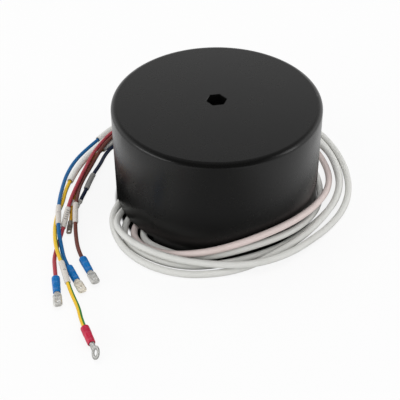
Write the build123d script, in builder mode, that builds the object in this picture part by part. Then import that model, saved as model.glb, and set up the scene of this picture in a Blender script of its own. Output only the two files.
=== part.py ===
from build123d import *
import os
from math import cos, pi, radians, sin, tan

# Toroidal transformer potted in a round moulded case, standing on its open side.
# Origin: centre of the rim plane. +Z is the axis of the case, -Y the side the leads come round.

os.makedirs("parts", exist_ok=True)

# Case
TOP_D = 155.6  # over the roof, before the edge is rounded
DRAFT_STEP = 1.7  # how much further out the wall stands at the rim
HEIGHT = 85.5
TOP_EDGE_R = 4.0
RIM_EDGE_R = 0.6
WALL = 3.0
ROOF = 3.0
INNER_EDGE_R = 2.0
PILLAR_D = 24.0
PILLAR_DRAFT = 1.0  # the pillar is thicker by this at the roof
BORE_D = 8.6
HEX_AF = 13.4
HEX_DEPTH = 8.0
HEX_TURN = 11.0
HEX_CHAMFER = 0.4
RESIN_FACE = 12.0  # height of the resin face above the rim plane

# Wound ring, from the outside in
COIL_SIDE = 3.5  # resin between the ring and the wall, at the roof
COIL_PILLAR_GAP = 5.0  # resin between the ring and the pillar, at the roof
COIL_COVER = 5.0  # resin below the ring
COIL_ROOF_GAP = 3.0  # resin between the ring and the roof
COIL_EDGE_R = 9.0
WRAP_T = 0.8
SECONDARY_T = 4.0
BARRIER_T = 0.8
PRIMARY_T = 3.6
CORE_WRAP_T = 0.8
FIT = 0.2  # clearance between pieces that lie in one another

# Leads
SLEEVE_D = 5.2
LEAD_D = 3.0
MARKER_D = 4.3
MARKER_FIT = 0.05
OPENING_FIT = 0.6  # round each sleeve where it passes the wall
SLEEVE_LIFT = 1.6  # how far the highest sleeve has risen where it passes the wall
OPENING_FROM, OPENING_TO = -174.5, -125.5  # degrees round the axis
SINGLE_AT = 141.7
EXIT_DROP = 5.2  # straight down out of the resin
EXIT_RUN = 4.2  # then down to the floor at a slant

# Terminals
BARREL_D = 6.0
BARREL_L = 15.0
BARREL_NECK = 5.4
TAB_W = 6.3
TAB_T = 0.8
TAB_L = 12.4
TAB_TIP_R = 2.4
TAB_ROOT_R = 1.0
TAB_NECK_W = 4.4
TAB_NECK_L = 1.6
TAB_HOLE = 1.6
RING_OD = 9.0
RING_HOLE = 4.3
RING_REACH = 8.0
RING_NECK_W = 4.6
RING_ROLL = 60.0  # the ring leans on its edge, turned about its barrel by this
TONGUE_W = 4.0
TONGUE_T = 0.8
TONGUE_BARREL_L = 5.0
TONGUE_L = 8.0
TONGUE_TIP_R = 1.6
TONGUE_HOLE = 2.0
FERRULE_D = 3.4
FERRULE_PIN_D = 2.2
FERRULE_COLLAR = 2.0
FERRULE_L = 8.0

TOP_R = TOP_D / 2
RIM_R = TOP_R + DRAFT_STEP
AXLE_Z = BARREL_D / 2  # the terminals' barrels lie on the floor
SLEEVE_Z = SLEEVE_D / 2
LEAD_Z = LEAD_D / 2
RING_Z = RING_OD / 2 * sin(radians(RING_ROLL)) + TAB_T / 2


def wall_r(z, inset=0.0):
    """Radius of the drafted wall at height z, a given thickness inside it."""
    return RIM_R - DRAFT_STEP * z / HEIGHT - inset


def save(piece, label):
    piece.part.label = label
    export_step(piece.part, f"parts/{label}.step")


# ---------------------------------------------------------------- case
roof_z = HEIGHT - ROOF
pillar_r = PILLAR_D / 2
pillar_top_r = pillar_r + PILLAR_DRAFT

with BuildPart() as housing:
    with BuildSketch(Plane.XZ):
        with BuildLine():
            Polyline(
                (0, 0),
                (pillar_r, 0),
                (pillar_top_r, roof_z),
                (wall_r(roof_z, WALL), roof_z),
                (wall_r(0, WALL), 0),
                (RIM_R, 0),
                (TOP_R, HEIGHT),
                (0, HEIGHT),
                close=True,
            )
        make_face()
    revolve(axis=Axis.Z)
    circles = housing.edges().filter_by(GeomType.CIRCLE)
    fillet(circles.group_by(Axis.Z)[-1], TOP_EDGE_R)
    inside = [e for e in housing.edges().filter_by(GeomType.CIRCLE) if abs(e.center().Z - roof_z) < 0.01]
    fillet(inside, INNER_EDGE_R)
    rim = housing.edges().filter_by(GeomType.CIRCLE).group_by(Axis.Z)[0]
    fillet([e for e in rim if e.radius > pillar_r + WALL], RIM_EDGE_R)
    Hole(BORE_D / 2)
    with BuildSketch(Plane.XY.offset(HEIGHT)):
        RegularPolygon(HEX_AF / 2, 6, major_radius=False, rotation=HEX_TURN)
    extrude(amount=-HEX_DEPTH, mode=Mode.SUBTRACT)
    mouth = housing.edges().filter_by(GeomType.LINE).group_by(Axis.Z)[-1]
    chamfer(mouth, HEX_CHAMFER)
    # wide opening where five sleeves leave side by side
    span = [radians(OPENING_FROM + (OPENING_TO - OPENING_FROM) * i / 4) for i in range(5)]
    reach = 1.2 * RIM_R
    inner = wall_r(0, 2 * WALL)
    with BuildSketch():
        with BuildLine():
            Polyline(
                *[(reach * cos(a), reach * sin(a)) for a in span],
                *[(inner * cos(a), inner * sin(a)) for a in reversed(span)],
                close=True,
            )
        make_face()
    extrude(amount=SLEEVE_D + SLEEVE_LIFT + OPENING_FIT, mode=Mode.SUBTRACT)
    # arched opening for the single sleeve at the back
    side = Vector(cos(radians(SINGLE_AT)), sin(radians(SINGLE_AT)), 0)
    arch_r = SLEEVE_D / 2 + OPENING_FIT
    arch = Plane(side * inner, x_dir=(-side.Y, side.X, 0), z_dir=side)
    with BuildSketch(arch):
        with Locations((0, SLEEVE_Z)):
            Circle(arch_r)
        with Locations((0, SLEEVE_Z / 2)):
            Rectangle(2 * arch_r, SLEEVE_Z)
    extrude(amount=3 * WALL, mode=Mode.SUBTRACT)
save(housing, "housing")

# ---------------------------------------------------------------- wound ring
ring_out_r = wall_r(roof_z, WALL + COIL_SIDE)
ring_in_r = pillar_top_r + COIL_PILLAR_GAP
ring_mid = (ring_out_r + ring_in_r) / 2
ring_w = ring_out_r - ring_in_r
ring_h = roof_z - COIL_ROOF_GAP - RESIN_FACE - COIL_COVER
ring_z = RESIN_FACE + COIL_COVER + ring_h / 2


def ring_section(inset):
    """Rounded section of the wound ring, a given depth inside its outer face."""
    with Locations((ring_mid, ring_z)):
        RectangleRounded(ring_w - 2 * inset, ring_h - 2 * inset, max(COIL_EDGE_R - inset, 0.5))


def ring_hollow(inset):
    with Locations((ring_mid, ring_z)):
        RectangleRounded(
            ring_w - 2 * inset, ring_h - 2 * inset, max(COIL_EDGE_R - inset, 0.5), mode=Mode.SUBTRACT
        )


depth = 0.0
for label, thickness in (
    ("outer_wrap", WRAP_T),
    ("secondary_winding", SECONDARY_T),
    ("interwinding_insulation", BARRIER_T),
    ("primary_winding", PRIMARY_T),
    ("core_insulation", CORE_WRAP_T),
):
    with BuildPart() as layer:
        with BuildSketch(Plane.XZ):
            ring_section(depth)
            ring_hollow(depth + thickness)
        revolve(axis=Axis.Z)
    save(layer, label)
    depth += thickness + FIT

with BuildPart() as toroid_core:
    with BuildSketch(Plane.XZ):
        ring_section(depth)
    revolve(axis=Axis.Z)
save(toroid_core, "toroid_core")

with BuildPart() as potting_resin:
    resin_top = roof_z - FIT
    pillar_slope = PILLAR_DRAFT / roof_z
    with BuildSketch(Plane.XZ):
        with BuildLine():
            Polyline(
                (pillar_r + pillar_slope * RESIN_FACE + FIT, RESIN_FACE),
                (wall_r(RESIN_FACE, WALL + FIT), RESIN_FACE),
                (wall_r(resin_top - INNER_EDGE_R, WALL + FIT), resin_top - INNER_EDGE_R),
                (wall_r(resin_top, WALL + FIT + INNER_EDGE_R), resin_top),
                (pillar_top_r + FIT + INNER_EDGE_R, resin_top),
                (pillar_top_r + FIT, resin_top - INNER_EDGE_R),
                close=True,
            )
        make_face()
        ring_hollow(-FIT)
    revolve(axis=Axis.Z)
save(potting_resin, "potting_resin")


# ---------------------------------------------------------------- leads
def polar(angle, radius, z=SLEEVE_Z):
    return (radius * cos(radians(angle)), radius * sin(radians(angle)), z)


def leave(x, y, heading):
    """Out of the resin face, down, and over onto the floor."""
    dx, dy = EXIT_RUN * cos(radians(heading)), EXIT_RUN * sin(radians(heading))
    return [(x, y, RESIN_FACE), (x, y, RESIN_FACE - EXIT_DROP), (x + dx, y + dy, SLEEVE_Z)]


def on_floor(points, z):
    return [(p[0], p[1], p[2] if len(p) == 3 else z) for p in points]


SLEEVES = {
    "blue": leave(-57, 10, -104)
    + on_floor([(-60.5, -3.5), (-65, -14.5), (-70.8, -27), (-75, -41, 6.3), (-74.5, -54.5, 8.2)], SLEEVE_Z)
    + [polar(-133, 94, 8.3), polar(-121, 93, 8.0), polar(-109, 92.6, 7.9), polar(-97, 92.4, 8.0)]
    + [polar(-86, 93.6, 8.1), polar(-76, 96, 8.2), polar(-65, 96.6, 8.0), polar(-54, 95.6, 6.4)]
    + [polar(-43, 94.6, 4.4), polar(-30, 97.2), polar(-16, 102.2), polar(-2, 106.2), polar(13, 108.8)]
    + [polar(27, 112.2), polar(40, 116), polar(56, 119), polar(74, 120.6), polar(92, 122)]
    + [polar(110, 123), polar(126, 122.4), polar(138, 121.2), polar(148.8, 119.2)],
    "earth": leave(-53, 1, -104)
    + on_floor([(-56.3, -12.5), (-60.3, -23), (-65.3, -34.5), (-69.3, -47), (-68.5, -60.5)], SLEEVE_Z)
    + [polar(-128, 94.3), polar(-115, 94), polar(-104, 92.4), polar(-94, 89.4), polar(-83, 86)]
    + [polar(-71, 83.8), polar(-58, 83.6), polar(-46, 83.8), polar(-34, 85.6), polar(-22, 89.6)]
    + [polar(-11, 94.8), polar(1, 99.4), polar(13, 102.9), polar(25, 105.7), polar(39, 109.8)]
    + [polar(55, 112.8), polar(74, 115), polar(92, 116.5), polar(110, 117.2), polar(124, 116.8)]
    + [polar(136, 115.4), polar(146, 113.8)]
    + on_floor([(-102.3, 49.5), (-109.5, 36), (-115.3, 20), (-118.2, 5.5)], SLEEVE_Z),
    "red": leave(-62, 17, -104)
    + on_floor([(-65.5, 4), (-70.5, -7.5), (-76.5, -21.5), (-80, -37)], SLEEVE_Z)
    + [polar(-145, 93.8), polar(-132, 99.8), polar(-118, 102), polar(-104, 101), polar(-91, 97.2)]
    + [polar(-80, 94), polar(-70, 90.4), polar(-60, 88.8, 4.8), polar(-49, 88.6, 5.4)]
    + [polar(-37, 89.2, 6.2), polar(-25, 91.5, 7.6), polar(-13, 95.2, 8.2), polar(-1, 98, 8.1)]
    + [polar(12, 99.4, 7.5), polar(24, 102, 6.9), polar(38, 103.8, 4.3), polar(55, 106)]
    + [polar(74, 108.2), polar(92, 110), polar(110, 110.9), polar(122, 110.6), polar(131, 109.6)],
    "brown": leave(-50, -8.5, -100)
    + on_floor([(-52.5, -21.5), (-55.5, -32), (-60, -44), (-62.5, -56.5)], SLEEVE_Z)
    + [polar(-129, 88.4), polar(-119, 88.2, 4.4), polar(-110, 86.9, 6.4), polar(-100, 84.6, 9.2)]
    + [polar(-89.5, 83.1, 12.6), polar(-78, 82.7, 17.2), polar(-66, 82.6, 20.4), polar(-53, 82.6, 21.0)]
    + [polar(-41, 82.8, 19.6), polar(-30, 83.2, 16.6), polar(-19, 84.6, 12.7), polar(-8, 87.4, 8.8)]
    + [polar(3, 90.8, 5.5), polar(14, 93.6, 3.1), polar(26, 96.2), polar(40, 98.1), polar(56, 99.8)]
    + [polar(74, 102), polar(92, 104.3), polar(109, 105), polar(120, 103.8)],
    "yellow": leave(-45.8, -18.5, -97)
    + on_floor([(-48, -31), (-51, -41.5), (-54.8, -52), (-53.2, -63.3)], SLEEVE_Z)
    + [polar(-120, 83), polar(-109, 82.8), polar(-99, 82.7, 3.2), polar(-89, 82.6, 6.8)]
    + [polar(-78, 82.5, 10.6), polar(-66, 82.5, 12.4), polar(-54, 82.5, 11.8), polar(-42, 82.6, 9.8)]
    + [polar(-30, 82.8, 7.3), polar(-18, 82.9, 4.7), polar(-5, 83, 2.8), polar(9, 83.1), polar(24, 83.8)]
    + [polar(40, 85.8), polar(58, 89), polar(76, 93.2), polar(92, 96.8), polar(106, 98.6)]
    + [polar(118, 98.7), polar(129, 100), polar(139, 103.5), polar(147, 107.2), polar(153.6, 107.8)],
    "navy": [(-45, 36, RESIN_FACE), (-45, 36, RESIN_FACE - EXIT_DROP)]
    + on_floor([(-48.2, 38.6), (-55, 44.5), (-64.5, 50.8), (-76, 54)], SLEEVE_Z),
}

# each lead's route beyond the straight run in which it leaves its sleeve
LEADS = {
    "blue": [(-117.8, 35.3), (-122.7, 15.7), (-123.4, -5.5, 2.9), (-122.5, -25.7, 5.4)]
    + [(-120.1, -42.9, 6.1), (-117.4, -58.2, 5.7), (-114.3, -69.5, 3.9)]
    + [(-110, -84.1, AXLE_Z), (-105.5, -91.9, AXLE_Z)],
    "earth": [(-120.5, -18.8), (-122.8, -33.7), (-122.3, -47.4, 2.8)]
    + [(-120.2, -59.7, 4.8), (-117.9, -70.8, 5.6), (-114.3, -81.3, 6.2)]
    + [(-109.3, -93.2, 6.6), (-104.4, -106.8, 6.2), (-99.2, -119.3, 5.4)]
    + [(-92.8, -131.8, 4.7), (-90.2, -141, RING_Z), (-86.8, -148.2, RING_Z)],
    "red": [(-89, 67.6, 7.5), (-94.6, 57.2, 7.5), (-99.8, 46.2, 6.8), (-103.8, 35, 6)]
    + [(-106.3, 23, 5.7), (-109.1, 8.5, 5.9), (-111.5, -6.5, 6.2)]
    + [(-113.7, -21.4, 6.3), (-115, -38.1, 4.9), (-115.7, -52.2, 2.4)]
    + [(-117.3, -66.9, 1.6), (-118, -81), (-115.2, -93.3, AXLE_Z)]
    + [(-113.3, -102.1, AXLE_Z)],
    "brown": [(-73.8, 77, 5.8), (-83.3, 68.3, 7.1), (-90.2, 58.2, 7.1), (-95.4, 47.5, 7)]
    + [(-99.7, 36, 5.2), (-103.5, 23.8, 3.1), (-107.2, 10.3, 3)]
    + [(-109.4, -2.4, 3.3), (-109.2, -15.5, 5.3), (-108.9, -29.3, 5.9)]
    + [(-107.1, -43.1, 5.2), (-105.6, -55.2, 2.8), (-101.3, -74.1, AXLE_Z)]
    + [(-96.6, -83, AXLE_Z)],
    "navy": [(-86.6, 54.2, 1.9), (-90.4, 50.4), (-94.1, 41.2), (-96.3, 28.3, 2.2)]
    + [(-100.1, 16.7, 2.3), (-102.7, 5.1, 2.3), (-104.3, -6.4, 2.3)]
    + [(-106.1, -12.7, FERRULE_D / 2), (-106.9, -17.8, FERRULE_D / 2)],
    "yellow": [(-107.2, 26.4), (-110, 13.4), (-111.6, -0.4), (-112.3, -14.1, 2.1)]
    + [(-112.4, -26.9, 2.4), (-111.4, -36.6, TONGUE_W / 2)]
    + [(-111.2, -42.6, TONGUE_W / 2)],
}
STRAIGHT = {"blue": 11.6, "earth": 10.7, "red": 11.3, "brown": 12.4, "navy": 5.4, "yellow": 11.6}

# where each marker tube begins and ends, as distances along its lead
MARKERS = {
    "blue": (95.2, 117.6),
    "earth": (97.0, 120.2),
    "red": (125.2, 146.8),
    "brown": (137.5, 160.1),
    "navy": (53.1, 72.4),
    "yellow": (69.2, 77.4),
}


def route(points):
    """Straight runs joined by tangent arcs, each as large as its two runs allow."""
    corners = [Vector(*p) for p in points]
    runs = [b - a for a, b in zip(corners, corners[1:])]
    radii = [
        0.45 * min(r.length, s.length) / tan(radians(r.get_angle(s)) / 2) for r, s in zip(runs, runs[1:])
    ]
    with BuildLine() as line:
        FilletPolyline(*corners, radius=radii)
    return line.wire(), radii


def cord(label, points, diameter):
    path, radii = route(points)
    with BuildPart() as tube:
        with BuildSketch(Plane(path @ 0, z_dir=path % 0)):
            Circle(diameter / 2)
        sweep(path=path)
    save(tube, label)
    ratio = tube.part.volume / (pi * diameter**2 / 4 * path.length)
    print(f"{label}: length {path.length:.1f}, volume ratio {ratio:.4f}, radii", [round(r, 1) for r in radii])
    return path


ends = {}
for name, points in SLEEVES.items():
    cord(f"sleeve_{name}", points, SLEEVE_D)
    mouth, last = Vector(*points[-1]), Vector(*points[-1]) - Vector(*points[-2])
    outside = mouth + last.normalized() * STRAIGHT[name]
    path = cord(f"lead_{name}", [mouth, outside] + on_floor(LEADS[name], LEAD_Z), LEAD_D)
    ends[name] = Plane(path @ 1, x_dir=(path % 1).cross(Vector(0, 0, 1)), z_dir=path % 1)
    begin, finish = MARKERS[name]
    stretch = path.trim(begin / path.length, finish / path.length)
    with BuildPart() as marker:
        with BuildSketch(Plane(stretch @ 0, z_dir=stretch % 0)):
            Circle(MARKER_D / 2)
            Circle(LEAD_D / 2 + MARKER_FIT, mode=Mode.SUBTRACT)
        sweep(path=stretch)
    save(marker, f"marker_{name}")


# ---------------------------------------------------------------- terminals
def level(plane):
    """Plane at a lead's end whose Z runs on along the floor and whose Y is up."""
    ahead = Vector(plane.z_dir.X, plane.z_dir.Y, 0).normalized()
    return Plane(plane.origin, x_dir=ahead.cross(Vector(0, 0, 1)), z_dir=ahead)


def barrel(name):
    """Insulated barrel: thick over the lead's insulation, necked over the crimp."""
    seat = level(ends[name])
    with BuildPart() as sheath:
        with BuildSketch(seat):
            Circle(BARREL_D / 2)
        extrude(amount=BARREL_L * 0.55)
        with BuildSketch(seat.offset(BARREL_L * 0.55)):
            Circle(BARREL_D / 2)
        with BuildSketch(seat.offset(BARREL_L * 0.65)):
            Circle(BARREL_NECK / 2)
        loft()
        with BuildSketch(seat.offset(BARREL_L * 0.65)):
            Circle(BARREL_NECK / 2)
        extrude(amount=BARREL_L * 0.35)
    save(sheath, f"crimp_{name}")
    return seat.offset(BARREL_L)


def flat_on(face, roll=0.0, thickness=TAB_T):
    """Plane of a terminal's underside, centred on the barrel it leaves."""
    up = face.y_dir * cos(radians(roll)) + face.x_dir * sin(radians(roll))
    return Plane(face.origin - up * thickness / 2, x_dir=face.z_dir, z_dir=up)


for name in ("blue", "red", "brown"):
    face = barrel(name)
    blade_l = TAB_L - TAB_NECK_L
    with BuildPart() as tab:
        with BuildSketch(flat_on(face)):
            with Locations(((TAB_NECK_L + TAB_TIP_R) / 2, 0)):
                Rectangle(TAB_NECK_L + TAB_TIP_R, TAB_NECK_W)
            with Locations((TAB_NECK_L + blade_l / 2, 0)):
                RectangleRounded(blade_l, TAB_W, TAB_TIP_R)
            with Locations((TAB_NECK_L + blade_l / 4, 0)):
                RectangleRounded(blade_l / 2, TAB_W, TAB_ROOT_R)
            with Locations((TAB_NECK_L + 0.55 * blade_l, 0)):
                Circle(TAB_HOLE / 2, mode=Mode.SUBTRACT)
        extrude(amount=TAB_T)
    save(tab, f"tab_{name}")

face = barrel("earth")
with BuildPart() as ring_earth:
    with BuildSketch(flat_on(face, RING_ROLL)):
        with Locations((RING_REACH / 2, 0)):
            Rectangle(RING_REACH, RING_NECK_W)
        with Locations((RING_REACH, 0)):
            Circle(RING_OD / 2)
            Circle(RING_HOLE / 2, mode=Mode.SUBTRACT)
    extrude(amount=TAB_T)
save(ring_earth, "ring_earth")

seat = level(ends["yellow"])
with BuildPart() as tongue_yellow:
    with BuildSketch(seat):
        Circle(TONGUE_W / 2)
    extrude(amount=TONGUE_BARREL_L)
    with BuildSketch(flat_on(seat.offset(TONGUE_BARREL_L), thickness=TONGUE_T)):
        with Locations((TONGUE_L / 2, 0)):
            RectangleRounded(TONGUE_L, TONGUE_W, TONGUE_TIP_R)
        with Locations((TONGUE_TIP_R, 0)):
            Rectangle(2 * TONGUE_TIP_R, TONGUE_W)
        with Locations((0.65 * TONGUE_L, 0)):
            Circle(TONGUE_HOLE / 2, mode=Mode.SUBTRACT)
    extrude(amount=TONGUE_T)
save(tongue_yellow, "tongue_yellow")

seat = level(ends["navy"])
with BuildPart() as ferrule_navy:
    with BuildSketch(seat):
        Circle(FERRULE_D / 2)
    extrude(amount=FERRULE_COLLAR)
    with BuildSketch(seat.offset(FERRULE_COLLAR)):
        Circle(FERRULE_PIN_D / 2)
    extrude(amount=FERRULE_L - FERRULE_COLLAR)
save(ferrule_navy, "ferrule_navy")
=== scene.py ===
from math import atan2, cos, pi, radians, sin

import bmesh
import bpy
from mathutils import Matrix, Vector


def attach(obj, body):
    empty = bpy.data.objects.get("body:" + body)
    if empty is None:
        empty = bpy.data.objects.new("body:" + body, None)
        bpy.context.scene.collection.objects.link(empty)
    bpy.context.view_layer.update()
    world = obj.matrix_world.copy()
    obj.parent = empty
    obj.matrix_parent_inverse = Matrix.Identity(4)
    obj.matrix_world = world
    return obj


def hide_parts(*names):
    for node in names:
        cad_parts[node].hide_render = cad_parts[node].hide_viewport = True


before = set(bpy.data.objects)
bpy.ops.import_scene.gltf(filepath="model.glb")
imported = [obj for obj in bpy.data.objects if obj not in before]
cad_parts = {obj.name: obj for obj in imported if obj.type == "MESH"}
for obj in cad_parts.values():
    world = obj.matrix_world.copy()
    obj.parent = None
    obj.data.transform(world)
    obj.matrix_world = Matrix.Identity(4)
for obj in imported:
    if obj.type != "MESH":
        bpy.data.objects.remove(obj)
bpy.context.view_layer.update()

# Toroidal transformer potted in a round black case, its sleeved leads wrapped once round it.

MM = 0.001
scene = bpy.context.scene


# ---------------------------------------------------------------- camera
# its height and turns in degrees, its distances in millimetres
CAMERA_HEIGHT, CAMERA_DISTANCE, LOOKED_AT_Z = 37.7313, 622.294, 35.0
SWING, TIPPED_DOWN, ROLL = -1.52933, 3.2701, -0.7483
LENS, SENSOR = 72.15, 36.0


def aim_camera():
    """Looks down on the case from the front, slightly off its axis."""
    height = radians(CAMERA_HEIGHT)
    back = Vector((0, -cos(height), sin(height)))
    swing, pitch, roll = radians(SWING), height + radians(TIPPED_DOWN), radians(ROLL)
    ahead = Vector((sin(swing) * cos(pitch), cos(swing) * cos(pitch), -sin(pitch)))
    side = ahead.cross(Vector((0, 0, 1))).normalized()
    up = side.cross(ahead)
    right = side * cos(roll) + up * sin(roll)
    up = up * cos(roll) - side * sin(roll)
    camera = bpy.data.objects.new("camera", bpy.data.cameras.new("camera"))
    camera.data.lens, camera.data.sensor_width = LENS, SENSOR
    camera.data.clip_start, camera.data.clip_end = 0.01, 50.0
    turn = Matrix((right, up, -ahead)).transposed().to_4x4()
    place = Vector((0, 0, LOOKED_AT_Z * MM)) + back * (CAMERA_DISTANCE * MM)
    camera.matrix_world = Matrix.Translation(place) @ turn
    scene.collection.objects.link(camera)
    scene.camera = camera


aim_camera()

# ---------------------------------------------------------------- sizes, in millimetres
SLEEVE_D, SLEEVE_WALL, MOUTH_DEPTH = 5.2, 0.6, 3.0
LEAD_D, MARKER_D, MARKER_EDGE_R = 3.0, 4.3, 0.25
RESIN_FACE, EXIT_DROP, EXIT_RUN = 12.0, 5.2, 4.2
BARREL_D, BARREL_L, BARREL_NECK = 6.0, 15.0, 5.4
TAB_W, TAB_T, TAB_L, TAB_TIP_R, TAB_ROOT_R, TAB_NECK_L, TAB_HOLE = 6.3, 0.8, 12.4, 2.4, 1.0, 1.6, 1.6
TAB_HOLE_AT = 0.55  # share of the blade before the hole
RING_OD, RING_HOLE, RING_REACH, RING_NECK_W, RING_ROLL = 9.0, 4.3, 8.0, 4.6, 60.0
RING_CLEARANCE = 0.01  # keeps the ring's rim inside its solid's box
TONGUE_W, TONGUE_BARREL_L, TONGUE_L, TONGUE_TIP_R, TONGUE_HOLE = 4.0, 5.0, 8.0, 1.6, 2.0
TONGUE_ROOT_R, TONGUE_HOLE_AT = 0.1, 0.65
FERRULE_D, METAL_EDGE_R = 3.4, 0.14
SLEEVE_Z, LEAD_Z, AXLE_Z = SLEEVE_D / 2, LEAD_D / 2, BARREL_D / 2
RING_Z = RING_OD / 2 * sin(radians(RING_ROLL)) + TAB_T / 2


def polar(angle, radius, z=SLEEVE_Z):
    return (radius * cos(radians(angle)), radius * sin(radians(angle)), z)


def leave(x, y, heading):
    """Out of the resin face, down, and over onto the floor."""
    dx, dy = EXIT_RUN * cos(radians(heading)), EXIT_RUN * sin(radians(heading))
    return [(x, y, RESIN_FACE), (x, y, RESIN_FACE - EXIT_DROP), (x + dx, y + dy, SLEEVE_Z)]


def on_floor(points, z):
    return [(p[0], p[1], p[2] if len(p) == 3 else z) for p in points]


SLEEVES = {
    "blue": leave(-57, 10, -104)
    + on_floor([(-60.5, -3.5), (-65, -14.5), (-70.8, -27), (-75, -41, 6.3), (-74.5, -54.5, 8.2)], SLEEVE_Z)
    + [polar(-133, 94, 8.3), polar(-121, 93, 8.0), polar(-109, 92.6, 7.9), polar(-97, 92.4, 8.0)]
    + [polar(-86, 93.6, 8.1), polar(-76, 96, 8.2), polar(-65, 96.6, 8.0), polar(-54, 95.6, 6.4)]
    + [polar(-43, 94.6, 4.4), polar(-30, 97.2), polar(-16, 102.2), polar(-2, 106.2), polar(13, 108.8)]
    + [polar(27, 112.2), polar(40, 116), polar(56, 119), polar(74, 120.6), polar(92, 122)]
    + [polar(110, 123), polar(126, 122.4), polar(138, 121.2), polar(148.8, 119.2)],
    "earth": leave(-53, 1, -104)
    + on_floor([(-56.3, -12.5), (-60.3, -23), (-65.3, -34.5), (-69.3, -47), (-68.5, -60.5)], SLEEVE_Z)
    + [polar(-128, 94.3), polar(-115, 94), polar(-104, 92.4), polar(-94, 89.4), polar(-83, 86)]
    + [polar(-71, 83.8), polar(-58, 83.6), polar(-46, 83.8), polar(-34, 85.6), polar(-22, 89.6)]
    + [polar(-11, 94.8), polar(1, 99.4), polar(13, 102.9), polar(25, 105.7), polar(39, 109.8)]
    + [polar(55, 112.8), polar(74, 115), polar(92, 116.5), polar(110, 117.2), polar(124, 116.8)]
    + [polar(136, 115.4), polar(146, 113.8)]
    + on_floor([(-102.3, 49.5), (-109.5, 36), (-115.3, 20), (-118.2, 5.5)], SLEEVE_Z),
    "red": leave(-62, 17, -104)
    + on_floor([(-65.5, 4), (-70.5, -7.5), (-76.5, -21.5), (-80, -37)], SLEEVE_Z)
    + [polar(-145, 93.8), polar(-132, 99.8), polar(-118, 102), polar(-104, 101), polar(-91, 97.2)]
    + [polar(-80, 94), polar(-70, 90.4), polar(-60, 88.8, 4.8), polar(-49, 88.6, 5.4)]
    + [polar(-37, 89.2, 6.2), polar(-25, 91.5, 7.6), polar(-13, 95.2, 8.2), polar(-1, 98, 8.1)]
    + [polar(12, 99.4, 7.5), polar(24, 102, 6.9), polar(38, 103.8, 4.3), polar(55, 106)]
    + [polar(74, 108.2), polar(92, 110), polar(110, 110.9), polar(122, 110.6), polar(131, 109.6)],
    "brown": leave(-50, -8.5, -100)
    + on_floor([(-52.5, -21.5), (-55.5, -32), (-60, -44), (-62.5, -56.5)], SLEEVE_Z)
    + [polar(-129, 88.4), polar(-119, 88.2, 4.4), polar(-110, 86.9, 6.4), polar(-100, 84.6, 9.2)]
    + [polar(-89.5, 83.1, 12.6), polar(-78, 82.7, 17.2), polar(-66, 82.6, 20.4), polar(-53, 82.6, 21.0)]
    + [polar(-41, 82.8, 19.6), polar(-30, 83.2, 16.6), polar(-19, 84.6, 12.7), polar(-8, 87.4, 8.8)]
    + [polar(3, 90.8, 5.5), polar(14, 93.6, 3.1), polar(26, 96.2), polar(40, 98.1), polar(56, 99.8)]
    + [polar(74, 102), polar(92, 104.3), polar(109, 105), polar(120, 103.8)],
    "yellow": leave(-45.8, -18.5, -97)
    + on_floor([(-48, -31), (-51, -41.5), (-54.8, -52), (-53.2, -63.3)], SLEEVE_Z)
    + [polar(-120, 83), polar(-109, 82.8), polar(-99, 82.7, 3.2), polar(-89, 82.6, 6.8)]
    + [polar(-78, 82.5, 10.6), polar(-66, 82.5, 12.4), polar(-54, 82.5, 11.8), polar(-42, 82.6, 9.8)]
    + [polar(-30, 82.8, 7.3), polar(-18, 82.9, 4.7), polar(-5, 83, 2.8), polar(9, 83.1), polar(24, 83.8)]
    + [polar(40, 85.8), polar(58, 89), polar(76, 93.2), polar(92, 96.8), polar(106, 98.6)]
    + [polar(118, 98.7), polar(129, 100), polar(139, 103.5), polar(147, 107.2), polar(153.6, 107.8)],
    "navy": [(-45, 36, RESIN_FACE), (-45, 36, RESIN_FACE - EXIT_DROP)]
    + on_floor([(-48.2, 38.6), (-55, 44.5), (-64.5, 50.8), (-76, 54)], SLEEVE_Z),
}

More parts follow.
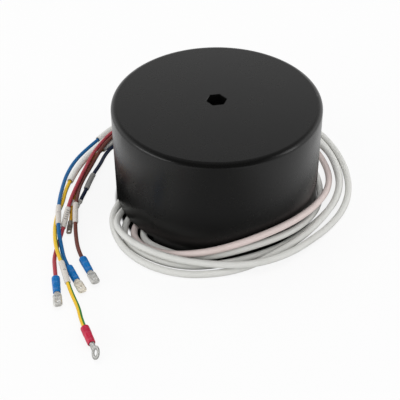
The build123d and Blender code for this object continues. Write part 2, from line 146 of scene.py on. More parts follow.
# each lead's route beyond the straight run in which it leaves its sleeve
LEADS = {
    "blue": [(-117.8, 35.3), (-122.7, 15.7), (-123.4, -5.5, 2.9), (-122.5, -25.7, 5.4)]
    + [(-120.1, -42.9, 6.1), (-117.4, -58.2, 5.7), (-114.3, -69.5, 3.9)]
    + [(-110, -84.1, AXLE_Z), (-105.5, -91.9, AXLE_Z)],
    "earth": [(-120.5, -18.8), (-122.8, -33.7), (-122.3, -47.4, 2.8)]
    + [(-120.2, -59.7, 4.8), (-117.9, -70.8, 5.6), (-114.3, -81.3, 6.2)]
    + [(-109.3, -93.2, 6.6), (-104.4, -106.8, 6.2), (-99.2, -119.3, 5.4)]
    + [(-92.8, -131.8, 4.7), (-90.2, -141, RING_Z), (-86.8, -148.2, RING_Z)],
    "red": [(-89, 67.6, 7.5), (-94.6, 57.2, 7.5), (-99.8, 46.2, 6.8), (-103.8, 35, 6)]
    + [(-106.3, 23, 5.7), (-109.1, 8.5, 5.9), (-111.5, -6.5, 6.2)]
    + [(-113.7, -21.4, 6.3), (-115, -38.1, 4.9), (-115.7, -52.2, 2.4)]
    + [(-117.3, -66.9, 1.6), (-118, -81), (-115.2, -93.3, AXLE_Z)]
    + [(-113.3, -102.1, AXLE_Z)],
    "brown": [(-73.8, 77, 5.8), (-83.3, 68.3, 7.1), (-90.2, 58.2, 7.1), (-95.4, 47.5, 7)]
    + [(-99.7, 36, 5.2), (-103.5, 23.8, 3.1), (-107.2, 10.3, 3)]
    + [(-109.4, -2.4, 3.3), (-109.2, -15.5, 5.3), (-108.9, -29.3, 5.9)]
    + [(-107.1, -43.1, 5.2), (-105.6, -55.2, 2.8), (-101.3, -74.1, AXLE_Z)]
    + [(-96.6, -83, AXLE_Z)],
    "navy": [(-86.6, 54.2, 1.9), (-90.4, 50.4), (-94.1, 41.2), (-96.3, 28.3, 2.2)]
    + [(-100.1, 16.7, 2.3), (-102.7, 5.1, 2.3), (-104.3, -6.4, 2.3)]
    + [(-106.1, -12.7, FERRULE_D / 2), (-106.9, -17.8, FERRULE_D / 2)],
    "yellow": [(-107.2, 26.4), (-110, 13.4), (-111.6, -0.4), (-112.3, -14.1, 2.1)]
    + [(-112.4, -26.9, 2.4), (-111.4, -36.6, TONGUE_W / 2)]
    + [(-111.2, -42.6, TONGUE_W / 2)],
}
STRAIGHT = {"blue": 11.6, "earth": 10.7, "red": 11.3, "brown": 12.4, "navy": 5.4, "yellow": 11.6}

# where each marker tube begins and ends, as distances along its lead
MARKERS = {
    "blue": (95.2, 117.6),
    "earth": (97.0, 120.2),
    "red": (125.2, 146.8),
    "brown": (137.5, 160.1),
    "navy": (53.1, 72.4),
    "yellow": (69.2, 77.4),
}


def route(name):
    """A lead's points, from its sleeve's mouth."""
    mouth, before = Vector(SLEEVES[name][-1]), Vector(SLEEVES[name][-2])
    outside = mouth + (mouth - before).normalized() * STRAIGHT[name]
    return [mouth, outside] + on_floor(LEADS[name], LEAD_Z)


# ---------------------------------------------------------------- shader maths
class Maths:
    """A socket that node expressions are written with, in the tree that is being built."""

    tree = None

    def __init__(self, socket):
        self.socket = socket

    @classmethod
    def node(cls, kind, settings=None, **values):
        """New node: its settings first, then its sockets by name, or i and their number."""
        made = cls.tree.nodes.new("ShaderNode" + kind)
        for key, value in (settings or {}).items():
            setattr(made, key, value)
        for key, value in values.items():
            slot = int(key[1:]) if key[0] == "i" and key[1:].isdigit() else key.replace("_", " ")
            cls.feed(made.inputs[slot], value)
        return made

    @classmethod
    def feed(cls, socket, value):
        if isinstance(value, Maths):
            value = value.socket
        if isinstance(value, bpy.types.NodeSocket):
            cls.tree.links.new(value, socket)
        else:
            socket.default_value = value

    def math(self, operation, *others):
        values = {f"i{n}": value for n, value in enumerate((self, *others))}
        return Maths(Maths.node("Math", {"operation": operation}, **values).outputs[0])

    def __add__(self, other):
        return self.math("ADD", other)

    def __radd__(self, other):
        return self.math("ADD", other)

    def __sub__(self, other):
        return self.math("SUBTRACT", other)

    def __rsub__(self, other):
        return Maths(Maths.node("Math", {"operation": "SUBTRACT"}, i0=other, i1=self).outputs[0])

    def __mul__(self, other):
        return self.math("MULTIPLY", other)

    def __rmul__(self, other):
        return self.math("MULTIPLY", other)

    def __truediv__(self, other):
        return self.math("DIVIDE", other)

    def above(self, edge, soft=0.0):
        """0 below an edge and 1 above it, over a soft step."""
        low, high = edge - soft, edge + max(soft, 1e-5)
        step = {"interpolation_type": "SMOOTHSTEP"}
        return Maths(Maths.node("MapRange", step, Value=self, From_Min=low, From_Max=high).outputs[0])


def blend(mask, low, high):
    """Mix of two colours or colour sockets by a mask."""
    return Maths(Maths.node("Mix", {"data_type": "RGBA"}, i0=mask, i6=low, i7=high).outputs[2])


def noise(place, scale, detail=3.0, roughness=0.5, stretch=(1, 1, 1)):
    mapped = Maths.node("Mapping", Vector=place, Scale=stretch).outputs[0]
    made = Maths.node("TexNoise", Vector=mapped, Scale=scale, Detail=detail, Roughness=roughness)
    return Maths(made.outputs[0])


def bump(height, strength, distance, under=None):
    made = Maths.node("Bump", Height=height, Strength=strength, Distance=distance)
    if under is not None:
        Maths.feed(made.inputs["Normal"], under)
    return made.outputs[0]


def material(name, build):
    """A node material whose Principled sockets are set from the dictionary that build returns."""
    made = bpy.data.materials.new(name)
    made.use_nodes = True
    Maths.tree = made.node_tree
    shader = made.node_tree.nodes["Principled BSDF"]
    place = Maths.node("TexCoord").outputs["Object"]
    for key, value in build(place).items():
        Maths.feed(shader.inputs[key], value)
    return made


def srgb(text):
    """Linear colour of a six-digit hexadecimal one."""
    parts = [int(text[i : i + 2], 16) / 255 for i in (0, 2, 4)]
    return tuple(c / 12.92 if c <= 0.04045 else ((c + 0.055) / 1.055) ** 2.4 for c in parts) + (1.0,)


def part_of(place, axis):
    return Maths(Maths.node("SeparateXYZ", Vector=place).outputs[axis])


def lay():
    """Where a point is on its cord: cosine and sine of its place round it, and metres along it."""
    return Maths.node("Attribute", {"attribute_name": "lay"}).outputs["Vector"]


# ---------------------------------------------------------------- finishes
def moulded_black(place):
    grain = noise(place, 2600, 2)
    cloud = noise(place, 22, 4, 0.6)
    scuffs = noise(place, 260, 3, 0.7, (1, 1, 0.25)).above(0.66, 0.05)
    return {
        "Specular IOR Level": 0.25,
        "Base Color": blend(cloud, srgb("0b0b0b"), srgb("0f0f0e")),
        "Roughness": 0.22 + cloud * 0.10 - scuffs * 0.04,
        "Normal": bump(grain, 0.16, 0.00004, bump(cloud, 0.05, 0.0004)),
    }


def cast_resin(place):
    flow = noise(place, 30, 3)
    return {
        "Base Color": srgb("141414"),
        "Roughness": 0.22 + flow * 0.12,
        "Normal": bump(flow, 0.25, 0.0006),
    }


def sleeving(colour, shade):
    """Smooth extruded sleeving, faintly uneven along its length."""

    def build(place):
        wave = noise(lay(), 60, 2, 0.5, (0.004, 0.004, 1))
        fine = noise(place, 1400, 2)
        dirt = noise(place, 55, 4, 0.65).above(0.58, 0.12)
        return {
            "Specular IOR Level": 0.3,
            "Base Color": blend(dirt * 0.35, srgb(colour), srgb(shade)),
            "Roughness": 0.46 + fine * 0.08,
            "Normal": bump(fine, 0.10, 0.00004, bump(wave, 0.35, 0.0005)),
        }

    return build


def insulation(colour, shade):
    def build(place):
        fine = noise(place, 1500, 2)
        cloud = noise(place, 90, 3, 0.6)
        return {
            "Specular IOR Level": 0.3,
            "Base Color": blend(cloud, srgb(colour), srgb(shade)),
            "Roughness": 0.40 + fine * 0.08,
            "Normal": bump(fine, 0.12, 0.00004),
        }

    return build


def green_and_yellow(place):
    """Two-colour insulation: a green stripe that turns slowly round a yellow wire."""
    fine = noise(place, 1500, 2)
    stripe = part_of(lay(), 0).above(0.30, 0.04)
    return {
        "Specular IOR Level": 0.3,
        "Base Color": blend(stripe, srgb("dcb42c"), srgb("2f7a35")),
        "Roughness": 0.40 + fine * 0.08,
        "Normal": bump(fine, 0.12, 0.00004),
    }


MARKER_TONES = ("d3cec8", "c4beb7")


def marker_film(colour, shade):
    def build(place):
        fine = noise(place, 1200, 3)
        cloud = noise(place, 140, 3)
        return {
            "Specular IOR Level": 0.3,
            "Base Color": blend(cloud, srgb(colour), srgb(shade)),
            "Roughness": 0.48 + fine * 0.1,
            "Normal": bump(cloud, 0.3, 0.0002),
        }

    return build


# strokes of a plain figure: centre along the tube and across it, and half sizes, in millimetres
STROKES = {
    "top": (0.0, 0.75, 0.5, 0.14),
    "middle": (0.0, 0.0, 0.5, 0.14),
    "bottom": (0.0, -0.75, 0.5, 0.14),
    "upper left": (-0.42, 0.38, 0.14, 0.42),
    "upper right": (0.42, 0.38, 0.14, 0.42),
    "lower left": (-0.42, -0.38, 0.14, 0.42),
    "lower right": (0.42, -0.38, 0.14, 0.42),
}
FIGURES = {
    2: ("top", "upper right", "middle", "lower left", "bottom"),
    3: ("top", "upper right", "middle", "lower right", "bottom"),
    5: ("top", "upper left", "middle", "lower right", "bottom"),
}
FIGURE_PITCH = 2.1


def printed(figure, first, count, ink, tilt):
    """White marker tube with a plain figure along it, once or in a row, turned a little to one side."""

    def build(place):
        look = marker_film(*MARKER_TONES)(place)
        cosine, sine, run = (part_of(lay(), axis) for axis in range(3))
        across = (sine * cos(tilt) - cosine * sin(tilt)) * (MARKER_D / 2)
        facing = (cosine * cos(tilt) + sine * sin(tilt)).above(0.3)
        cells = (run / MM - first) / FIGURE_PITCH
        within = cells.above(0.0) * (1.0 - cells.above(float(count)))
        reading = (cells.math("FRACT") - 0.5) * FIGURE_PITCH
        mask = 0.0
        for stroke in FIGURES[figure]:
            x, y, half_x, half_y = STROKES[stroke]
            inside = (reading - x).math("ABSOLUTE").math("LESS_THAN", half_x)
            inside = inside * (across - y).math("ABSOLUTE").math("LESS_THAN", half_y)
            mask = inside.math("MAXIMUM", mask)
        look["Base Color"] = blend(mask * facing * within, look["Base Color"], srgb(ink))
        return look

    return build


def crimp_shell(colour, shade):
    def build(place):
        cloud = noise(place, 160, 2)
        return {
            "Specular IOR Level": 0.3,
            "Base Color": blend(cloud, srgb(colour), srgb(shade)),
            "Roughness": 0.30 + cloud * 0.1,
            "Coat Weight": 0.05,
            "Normal": bump(cloud, 0.2, 0.0002),
        }

    return build


def tinned(colour, shade, metallic=0.75):
    def build(place):
        brushed = noise(place, 900, 3, 0.6, (1, 1, 3))
        cloud = noise(place, 180, 3)
        return {
            "Base Color": blend(cloud, srgb(colour), srgb(shade)),
            "Metallic": metallic,
            "Roughness": 0.40 + brushed * 0.16,
            "Normal": bump(brushed, 0.12, 0.0001),
        }

    return build


def strip_steel(place):
    return {"Base Color": srgb("8a8b8d"), "Metallic": 1.0, "Roughness": 0.35 + noise(place, 300, 2) * 0.1}


def film(place):
    return {"Base Color": srgb("d8cfa8"), "Roughness": 0.35 + noise(place, 200, 2) * 0.1}


def enamelled_copper(place):
    return {"Base Color": srgb("a5542c"), "Metallic": 0.9, "Roughness": 0.3 + noise(place, 300, 2) * 0.1}


FINISH = {
    "case": material("moulded black", moulded_black),
    "resin": material("cast resin", cast_resin),
    "core_steel": material("strip steel", strip_steel),
    "film": material("polyester film", film),
    "winding": material("enamelled copper", enamelled_copper),
    "sleeve": material("pale grey sleeving", sleeving("d6d6d2", "c4c4bf")),
    "sleeve_warm": material("pinkish sleeving", sleeving("dccdc9", "c9bab4")),
    "wire_blue": material("blue insulation", insulation("06619b", "045489")),
    "wire_green": material("green and yellow insulation", green_and_yellow),
    "wire_red": material("red insulation", insulation("ad3f4a", "94333d")),
    "wire_brown": material("brown insulation", insulation("6e3a30", "572c23")),
    "wire_yellow": material("yellow insulation", insulation("c08f1c", "a87a14")),
    "wire_navy": material("navy insulation", insulation("081a38", "05132c")),
    "marker": material("white marker tube", marker_film(*MARKER_TONES)),
    "marker_grey": material("grey marker tube", marker_film("8d8c8a", "7a7977")),
    "crimp_blue": material("blue crimp shell", crimp_shell("006fb6", "005c9c")),
    "crimp_red": material("red crimp shell", crimp_shell("c52848", "a51c3a")),
    "tin": material("tinned metal", tinned("c6c5c1", "dad9d4", 0.5)),
}
# the same metal greyer, brighter and warmer as a painted highlight, and darker and browner as painted
# shade with a painted reflection of the brown lead
PAINTED_HIGHLIGHT_TIN = material("tinned metal with painted highlight", tinned("f6ecd8", "fff8ea", 0.55))
GREY_TIN = material("grey tinned metal", tinned("a9a9a6", "c4c4c0"))
PAINTED_SHADE_TIN = material("tinned metal with painted shade", tinned("5f5248", "a39a8f", 0.6))


def piece_of(name, bm, slot, node, look=None):
    """Object of a finished bmesh that stands for a CAD node, in its slot's finish or a look of its own."""
    mesh = bpy.data.meshes.new(name)
    bm.to_mesh(mesh)
    bm.free()
    mesh.materials.append(look or FINISH[slot])
    mesh.shade_smooth()
    made = bpy.data.objects.new(name, mesh)
    scene.collection.objects.link(made)
    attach(made, "root")
    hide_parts(node)
    return made


def soften(bm, size, edges=None, angle=0.9):
    """Rounds the edges given, or all that are sharper than an angle."""
    if edges is None:
        edges = [e for e in bm.edges if len(e.link_faces) == 2 and e.calc_face_angle() > angle]
    bmesh.ops.bevel(bm, geom=edges, offset=size, segments=2, profile=0.5, affect="EDGES", material=-1)


# ---------------------------------------------------------------- cords
def spline(name, points, bevel=0.0):
    """Mesh of a smooth cord through the route's points: its centreline, or its skin."""
    curve = bpy.data.curves.new(name, "CURVE")
    curve.dimensions, curve.resolution_u, curve.bevel_resolution = "3D", 8, 4
    curve.bevel_depth = bevel * MM
    line = curve.splines.new("NURBS")
    line.points.add(len(points) - 1)
    for point, place in zip(line.points, points):
        point.co = (*(Vector(place) * MM), 1.0)
    line.order_u, line.use_endpoint_u = 3, True
    holder = bpy.data.objects.new(name, curve)
    mesh = bpy.data.meshes.new_from_object(holder)
    bpy.data.objects.remove(holder)
    return mesh


def followed(name, points):
    """Points of a cord's centreline."""
    mesh = spline(name + "_line", points)
    line = [v.co.copy() for v in mesh.vertices]
    bpy.data.meshes.remove(mesh)
    return line


def along(line):
    """Distance along a line to each of its points."""
    run = [0.0]
    for a, b in zip(line, line[1:]):
        run.append(run[-1] + (b - a).length)
    return run


def skin(name, points, diameter, twist=0.0, phase=0.0):
    """Tube along a cord's spline, its own centreline, and how many vertices lie round it."""
    line = followed(name, points)
    run = along(line)
    mesh = spline(name, points, diameter / 2)
    ring = len(mesh.vertices) // len(line)
    places = mesh.attributes.new("lay", "FLOAT_VECTOR", "POINT")
    for i, centre in enumerate(line):
        ahead = (line[min(i + 1, len(line) - 1)] - line[max(i - 1, 0)]).normalized()
        up = (Vector((0, 0, 1)) - ahead * ahead.z).normalized()
        side = ahead.cross(up)
        for k in range(i * ring, (i + 1) * ring):
            out = mesh.vertices[k].co - centre
            turn = atan2(out.dot(side), out.dot(up)) + twist * run[i] + phase
            places.data[k].vector = (cos(turn), sin(turn), run[i])
    bm = bmesh.new()
    bm.from_mesh(mesh)
    bpy.data.meshes.remove(mesh)
    return bm, line, ring


def close_end(bm, end, before, wall=0.0, depth=0.0):
    """Closes the tube's open end at a point: a flat cap, or a lip round a bore of some depth."""
    rim = [e for e in bm.edges if e.is_boundary and (e.verts[0].co - end).length < SLEEVE_D * MM]
    cap = bmesh.ops.contextual_create(bm, geom=rim)["faces"]
    if wall:
        bmesh.ops.inset_region(bm, faces=cap, thickness=wall * MM, use_even_offset=True)
        moved = bmesh.ops.extrude_face_region(bm, geom=cap)["geom"]
        bmesh.ops.delete(bm, geom=cap, context="FACES_ONLY")
        verts = [v for v in moved if isinstance(v, bmesh.types.BMVert)]
        inwards = (before - end).normalized()
        bmesh.ops.translate(bm, verts=verts, vec=inwards * depth * MM)
    bmesh.ops.recalc_face_normals(bm, faces=bm.faces[:])


# the slots of each line's sleeve, lead and marker tube
LOOKS = {
    "blue": ("sleeve", "wire_blue", "marker"),
    "earth": ("sleeve", "wire_green", "marker"),
    "red": ("sleeve", "wire_red", "marker"),
    "brown": ("sleeve_warm", "wire_brown", "marker"),
    "yellow": ("sleeve", "wire_yellow", "marker"),
    "navy": ("sleeve", "wire_navy", "marker_grey"),
}
# how fast the earth lead's stripe turns, in radians a metre, and where it starts
STRIPE = {"twist": -8.3, "phase": 2.57}


def sleeve_of(name):
    """Sleeve, open at its mouth with a bore that its lead comes out of."""
    bm, line, _ = skin(f"sleeving_{name}", SLEEVES[name], SLEEVE_D)
    close_end(bm, line[0], line[1])
    close_end(bm, line[-1], line[-2], SLEEVE_WALL, MOUTH_DEPTH)
    sleeve = piece_of(f"sleeving_{name}", bm, LOOKS[name][0], f"sleeve_{name}")


def lead_of(name):
    """Lead, and its centreline."""
    bm, line, _ = skin(f"wire_{name}", route(name), LEAD_D, **(STRIPE if name == "earth" else {}))
    close_end(bm, line[0], line[1])
    close_end(bm, line[-1], line[-2])
    return piece_of(f"wire_{name}", bm, LOOKS[name][1], f"lead_{name}"), line


# the figure on a marker tube, how far along the tube it starts, how often it comes, ink and turn
PRINTS = {
    "red": (3, 3.2, 5, "4a4642", -0.35),
    "blue": (2, 8.2, 1, "8f8a85", 0.0),
    "earth": (5, 9.4, 1, "5c5853", -0.3),
}


def marker_of(name):
    """Marker tube slipped over a stretch of its lead, with rounded ends."""
    bm, line, ring = skin(f"tag_{name}", route(name), MARKER_D)
    run = along(line)
    begin, end = MARKERS[name]
    bm.verts.ensure_lookup_table()
    outside = [v for v in bm.verts if not begin * MM <= run[v.index // ring] <= end * MM]
    bmesh.ops.delete(bm, geom=outside, context="VERTS")
    loops = [e for e in bm.edges if e.is_boundary]
    caps = bmesh.ops.holes_fill(bm, edges=loops, sides=0)["faces"]
    soften(bm, MARKER_EDGE_R * MM, [e for f in caps for e in f.edges])
    bmesh.ops.recalc_face_normals(bm, faces=bm.faces[:])
    look = None
    if name in PRINTS:
        figure, first, count, ink, tilt = PRINTS[name]
        look = material(f"printed marker {name}", printed(figure, begin + first, count, ink, tilt))
    return piece_of(f"tag_{name}", bm, LOOKS[name][2], f"marker_{name}", look)


# ---------------------------------------------------------------- terminals
def lofted(bm, sections):
    """Closed body through oval sections: distance along X, half width and half height."""
    x, wide, high = sections[0]
    made = bmesh.ops.create_circle(bm, segments=32, radius=1.0, cap_ends=True)["verts"]
    bmesh.ops.rotate(bm, verts=made, matrix=Matrix.Rotation(pi / 2, 3, "Y"))
    bmesh.ops.scale(bm, verts=made, vec=(1, wide, high))
    bmesh.ops.translate(bm, verts=made, vec=(x, 0, 0))
    rim = list({e for v in made for e in v.link_edges})
    for next_x, next_wide, next_high in sections[1:]:
        moved = bmesh.ops.extrude_edge_only(bm, edges=rim)["geom"]
        verts = [g for g in moved if isinstance(g, bmesh.types.BMVert)]
        bmesh.ops.scale(bm, verts=verts, vec=(1, next_wide / wide, next_high / high))
        bmesh.ops.translate(bm, verts=verts, vec=(next_x - x, 0, 0))
        rim = [g for g in moved if isinstance(g, bmesh.types.BMEdge)]
        x, wide, high = next_x, next_wide, next_high
    bmesh.ops.contextual_create(bm, geom=rim)


def rounded_bar(x0, x1, width, root_r, tip_r):
    """How far a bar with rounded corners reaches from a point on its axis, at an angle."""

    def reach(x, angle):
        dx, dy = abs(cos(angle)), abs(sin(angle))
        far, r = (x1, tip_r) if cos(angle) > 0 else (x0, root_r)
        length = abs(far - x)
        corner = Vector((length - r, width / 2 - r))
        if dx and dy / dx * length <= corner.y:
            return length / dx
        if dy and dx / dy * width / 2 <= corner.x:
            return width / 2 / dy
        towards = corner.dot(Vector((dx, dy)))
        return towards + (towards**2 - corner.length_squared + r**2) ** 0.5

    return reach


def ring_outline(_, angle):
    """The ring, and the neck that it leaves its barrel by."""
    back, side = -cos(angle), abs(sin(angle))
    neck = min(RING_REACH / back, RING_NECK_W / 2 / max(side, 1e-9)) if back > 0 else 0.0
    return max(RING_OD / 2 - RING_CLEARANCE, neck)


def pierced(bm, centre, hole, reach, steps=96):
    """Flat plate round a hole, its outline given by how far it reaches from the hole's centre."""
    inner = bmesh.ops.create_circle(bm, segments=steps, radius=hole / 2)["verts"]
    bmesh.ops.translate(bm, verts=inner, vec=(centre, 0, -TAB_T / 2))
    edges = list({e for v in inner for e in v.link_edges})
    flat = bmesh.ops.extrude_edge_only(bm, edges=edges)["geom"]
    for vert in (g for g in flat if isinstance(g, bmesh.types.BMVert)):
        turn = atan2(vert.co.y, vert.co.x - centre)
        far = reach(centre, turn)
        vert.co = (centre + far * cos(turn), far * sin(turn), -TAB_T / 2)
    faces = [g for g in flat if isinstance(g, bmesh.types.BMFace)]
    raised = bmesh.ops.extrude_face_region(bm, geom=faces, use_keep_orig=True)["geom"]
    verts = [g for g in raised if isinstance(g, bmesh.types.BMVert)]
    bmesh.ops.translate(bm, verts=verts, vec=(0, 0, TAB_T))


def seat(bm, name, lift, roll=0.0):
    """Moves a terminal modelled along X in millimetres onto the end of its lead."""
    last, before = Vector(route(name)[-1]), Vector(route(name)[-2])
    ahead = Vector((last.x - before.x, last.y - before.y, 0)).normalized()
    side = Vector((0, 0, 1)).cross(ahead)
    turn = Matrix((ahead, side, Vector((0, 0, 1)))).transposed().to_4x4()
    turn = turn @ Matrix.Rotation(radians(roll), 4, "X")
    place = Matrix.Translation(Vector((last.x, last.y, lift)) * MM) @ turn @ Matrix.Scale(MM, 4)
    bmesh.ops.recalc_face_normals(bm, faces=bm.faces[:])
    bmesh.ops.transform(bm, matrix=place, verts=bm.verts[:])


# sections of the terminals' bodies: distance from the lead's end, half width and half height
BARREL_R, NECK_R = BARREL_D / 2, BARREL_NECK / 2
BARREL = [
    (0.8, 1.75, 1.75), (0.1, 2.2, 2.2), (0.0, 2.6, 2.6), (0.2, 2.9, 2.9),
    (0.6, BARREL_R, BARREL_R), (2.6, BARREL_R, BARREL_R), (3.3, BARREL_R, 2.55), (6.2, BARREL_R, 2.55),
    (6.9, 2.9, 2.9), (8.4, 2.8, 2.8), (9.1, 2.85, 2.25), (12.2, 2.85, 2.25),
    (12.9, NECK_R, NECK_R), (14.4, NECK_R, NECK_R), (14.9, 2.5, 2.5), (15.0, 2.15, 2.15), (14.2, 1.9, 1.9),
]
TAB_NECK = [(14.2, 1.8, 1.8), (15.1, 2.0, 1.5), (15.7, 2.5, 0.85), (16.3, 2.85, 0.48), (17.1, 2.9, 0.37)]
RING_NECK = [(14.2, 1.8, 1.8), (15.2, 1.85, 1.7), (16.0, 2.1, 1.1), (16.8, 2.2, 0.55), (17.4, 2.1, 0.36)]
TONGUE_R = TONGUE_W / 2
TONGUE_BARREL = [
    (0.8, 1.6, 1.6), (0.0, 1.8, 1.8), (0.1, TONGUE_R, TONGUE_R), (1.2, TONGUE_R, TONGUE_R),
    (1.7, TONGUE_R, 1.75), (3.6, TONGUE_R, 1.75), (4.2, 2.1, 1.8), (5.0, 2.1, 1.3), (5.8, 2.15, 0.6),
    (6.4, 2.15, 0.36),
]
FERRULE = [
    (0.5, 1.5, 1.5), (0.0, 1.6, 1.6), (0.1, 1.7, 1.7), (1.6, 1.7, 1.7), (2.0, 1.3, 1.3),
    (2.1, 1.1, 1.1), (4.0, 1.1, 1.05), (4.4, 1.1, 0.85), (6.6, 1.1, 0.85), (7.0, 1.1, 1.05),
    (7.9, 1.1, 1.1), (8.0, 0.95, 0.95),
]


def crimp_of(name, slot, lift):
    """Insulated crimp barrel with its two dents and its bell mouths."""
    bm = bmesh.new()
    lofted(bm, BARREL)
    seat(bm, name, lift)
    return piece_of(f"crimp_shell_{name}", bm, slot, f"crimp_{name}")


def tab_of(name):
    """Flat pierced tab and the neck that draws it down from its barrel."""
    bm = bmesh.new()
    lofted(bm, TAB_NECK)
    soften(bm, METAL_EDGE_R)
    root, tip = BARREL_L + TAB_NECK_L, BARREL_L + TAB_L
    outline = rounded_bar(root, tip, TAB_W, TAB_ROOT_R, TAB_TIP_R)
    pierced(bm, root + TAB_HOLE_AT * (tip - root), TAB_HOLE, outline)
    seat(bm, name, AXLE_Z)
    # the blue lead's tab has a painted highlight: a brighter, warmer copy of the tin
    return piece_of(f"blade_{name}", bm, "tin", f"tab_{name}", PAINTED_HIGHLIGHT_TIN if name == "blue" else None)


def ring_terminal():
    bm = bmesh.new()
    lofted(bm, RING_NECK)
    soften(bm, METAL_EDGE_R)
    pierced(bm, BARREL_L + RING_REACH, RING_HOLE, ring_outline)
    seat(bm, "earth", RING_Z, RING_ROLL)
    return piece_of("ring_terminal", bm, "tin", "ring_earth", GREY_TIN)


def bare_terminal():
    """Crimped barrel and tongue without an insulating shell."""
    bm = bmesh.new()
    lofted(bm, TONGUE_BARREL)
    soften(bm, METAL_EDGE_R)
    tip = TONGUE_BARREL_L + TONGUE_L
    outline = rounded_bar(TONGUE_BARREL_L, tip, TONGUE_W, TONGUE_ROOT_R, TONGUE_TIP_R)
    pierced(bm, TONGUE_BARREL_L + TONGUE_HOLE_AT * TONGUE_L, TONGUE_HOLE, outline)
    seat(bm, "yellow", TONGUE_R)
    # the bare terminal has painted shade and a painted reflection of the brown lead: a darker, browner
    # copy of the tin
    return piece_of("bare_terminal", bm, "tin", "tongue_yellow", PAINTED_SHADE_TIN)


def ferrule():
    bm = bmesh.new()
    lofted(bm, FERRULE)
    seat(bm, "navy", FERRULE_D / 2)
    return piece_of("ferrule", bm, "tin", "ferrule_navy")


def far_end_of(name):
    """The terminal that ends a lead."""
    if name == "yellow":
        return [bare_terminal()]
    if name == "navy":
        return [ferrule()]
    if name == "earth":
        return [crimp_of(name, "crimp_red", RING_Z), ring_terminal()]
    return [crimp_of(name, "crimp_blue", AXLE_Z), tab_of(name)]


for name in LOOKS:
    sleeve_of(name)

for name in LOOKS:
    wire, line = lead_of(name)
    carried = [marker_of(name)] + far_end_of(name)


# ---------------------------------------------------------------- case, resin and wound ring
def merged(node, slot, angle=0.55):
    """Copy of a CAD node whose triangles share their corners, smooth except over its sharp edges."""
    bm = bmesh.new()
    bm.from_mesh(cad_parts[node].data)
    bmesh.ops.remove_doubles(bm, verts=bm.verts[:], dist=1e-6)
    for e in bm.edges:
        level = [abs(f.normal.z) > 0.9999 for f in e.link_faces]
        e.smooth = len(level) == 2 and level[0] == level[1] and e.calc_face_angle() < angle
    return piece_of(f"smooth_{node}", bm, slot, node)


merged("housing", "case")
merged("potting_resin", "resin")
for node, slot in {
    "toroid_core": "core_steel",
    "core_insulation": "film",
    "primary_winding": "winding",
    "interwinding_insulation": "film",
    "secondary_winding": "winding",
    "outer_wrap": "film",
}.items():
    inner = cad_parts[node].data
    inner.materials.clear()
    inner.materials.append(FINISH[slot])


# ---------------------------------------------------------------- floor, light
# in metres: the painted shade under the case, how far that lies towards the front, the painted shadow
# round it that reflections show
CASE_SHADE_R, CASE_SHADE_SHIFT, REFLECTED_SHADE_R = 0.080, 0.004, 0.117
FLOOR_R = 6.0
PAINTED_SHADE_GREY, WHITE = (0.06, 0.06, 0.06, 1.0), (0.82, 0.82, 0.82, 1.0)


def seen_and_mirrored():
    """Whether the camera sees a surface itself, and whether a reflection does."""
    path = Maths.node("LightPath")
    return Maths(path.outputs["Is Camera Ray"]), Maths(path.outputs["Is Glossy Ray"])


def distance(x, y):
    return (x * x + y * y).math("POWER", 0.5)


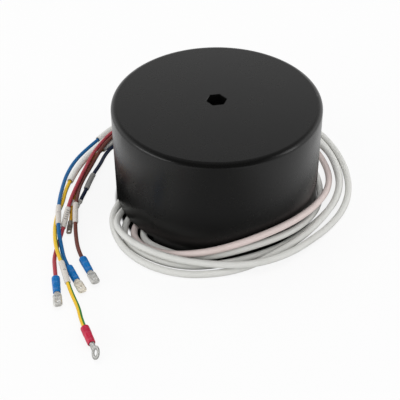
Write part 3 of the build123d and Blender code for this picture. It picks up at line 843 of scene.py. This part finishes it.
def backdrop():
    """White floor, with painted shade under the case and a painted shadow round it that only reflections
    show.
    """
    made = bpy.data.materials.new("white floor")
    made.use_nodes = True
    Maths.tree = made.node_tree
    nodes = made.node_tree.nodes
    place = Maths.node("TexCoord").outputs["Object"]
    x, y = part_of(place, 0), part_of(place, 1)
    seen, mirrored = seen_and_mirrored()
    beside = x.math("ABSOLUTE").above(0.09, 0.06)
    # painted shadow round the case: the floor is dark near it for reflections alone
    reflected = distance(x, y).above(REFLECTED_SHADE_R, 0.016) * (0.42 + beside * 0.62) + 0.01
    # painted shade: under the case the floor turns grey and stops glowing
    outside = distance(x, y + CASE_SHADE_SHIFT).above(CASE_SHADE_R, 0.0015)
    matt = nodes["Principled BSDF"]
    matt.inputs["Roughness"].default_value = 0.9
    Maths.feed(matt.inputs["Base Color"], blend(outside, PAINTED_SHADE_GREY, WHITE))
    glow = Maths.node("Emission", Color=(1, 1, 1, 1), Strength=seen * outside + mirrored * reflected)
    mix = Maths.node("MixShader", i0=seen * 0.85 + mirrored, i1=matt.outputs[0], i2=glow.outputs[0])
    Maths.feed(nodes["Material Output"].inputs["Surface"], mix.outputs[0])
    bm = bmesh.new()
    bmesh.ops.create_circle(bm, segments=96, radius=FLOOR_R, cap_ends=True)
    mesh = bpy.data.meshes.new("floor")
    bm.to_mesh(mesh)
    bm.free()
    mesh.materials.append(made)
    floor = bpy.data.objects.new("floor", mesh)
    scene.collection.objects.link(floor)


def studio():
    """White seen directly, pale for soft light, and darker above and in front for reflections."""
    world = bpy.data.worlds.new("studio")
    world.use_nodes = True
    Maths.tree = world.node_tree
    ahead = Maths.node("TexCoord").outputs["Generated"]
    x, y, z = (part_of(ahead, axis) for axis in range(3))
    seen, mirrored = seen_and_mirrored()
    low = 1.0 - z.above(0.55, 0.30)
    behind = y.above(0.0, 0.5)
    mirror = 0.03 + behind * (0.28 + low * 0.95) + (x * x).above(0.55, 0.25) * 0.6
    soft = 0.62 + (0.0 - y).above(0.2, 0.5) * 0.25
    strength = seen + mirrored * mirror + (1.0 - seen) * (1.0 - mirrored) * soft
    background = world.node_tree.nodes["Background"]
    background.inputs["Color"].default_value = (1, 1, 1, 1)
    Maths.feed(background.inputs["Strength"], strength)
    scene.world = world


def softbox(name, place, size, power):
    lamp = bpy.data.lights.new(name, "AREA")
    lamp.shape, lamp.size, lamp.size_y, lamp.energy = "RECTANGLE", size[0], size[1], power
    holder = bpy.data.objects.new(name, lamp)
    holder.location = place
    towards = Vector((0, 0, 0.05)) - Vector(place)
    holder.rotation_euler = towards.to_track_quat("-Z", "Y").to_euler()
    scene.collection.objects.link(holder)
    return holder


backdrop()
studio()
softbox("overhead", (0.0, 0.35, 1.4), (1.2, 0.9), 7.0).visible_glossy = False
softbox("left", (-1.15, -0.55, 0.35), (0.9, 0.35), 4.5)
softbox("right", (1.25, -0.30, 0.5), (0.3, 0.8), 3.0)

scene.view_settings.view_transform = "Standard"
